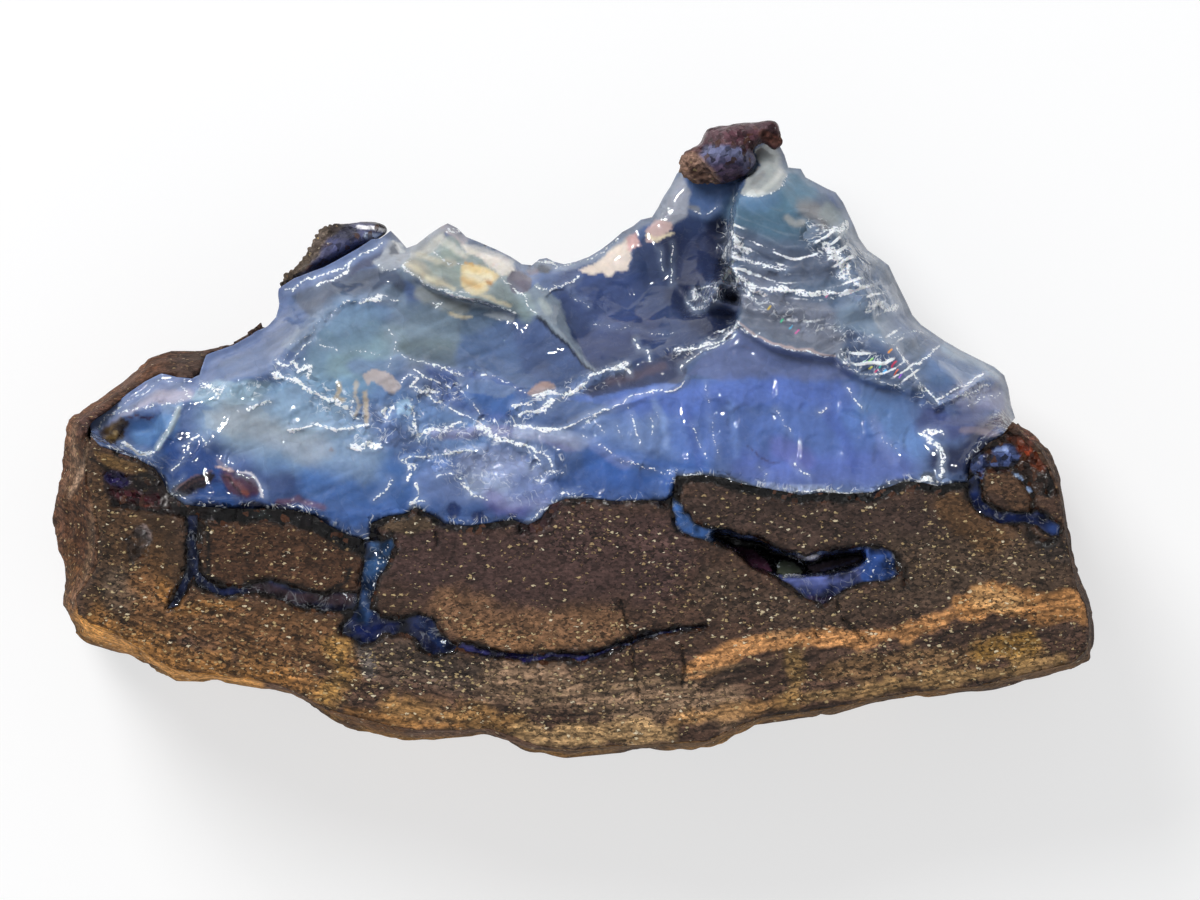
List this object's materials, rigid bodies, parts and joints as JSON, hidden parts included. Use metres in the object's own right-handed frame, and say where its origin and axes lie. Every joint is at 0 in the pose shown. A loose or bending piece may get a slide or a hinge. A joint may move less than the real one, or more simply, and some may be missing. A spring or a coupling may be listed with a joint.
{
  "type": "rough opal specimen",
  "caption": "Rough boulder opal: a sawn ironstone slab with a thick broken seam of blue opal along one long edge, lying on its flat back",
  "frame": {"origin": "bottom centre of the bounding box, on the flat back that the specimen lies on", "axes": "+X along the slab's long edge, +Y from the ironstone towards the opal's free rim, +Z out of the sawn face"},
  "size_m": [0.084, 0.0512, 0.024],
  "materials": {
    "ironstone": "brown ironstone, sawn face honed and the other sides natural",
    "opal": "translucent blue opal, glassy conchoidal breaks",
    "red_ironstone": "red-brown ironstone with a glazed break",
    "dark_crust": "near-black crust, partly glazed"
  },
  "bodies": {
    "root": {"ironstone_host": "ironstone", "opal_seam": "opal", "ironstone_fragment_left": "ironstone", "ironstone_fragment_right": "ironstone", "ironstone_peak_cap": "red_ironstone", "dark_shoulder_crust": "dark_crust"}
  },
  "joints": []
}
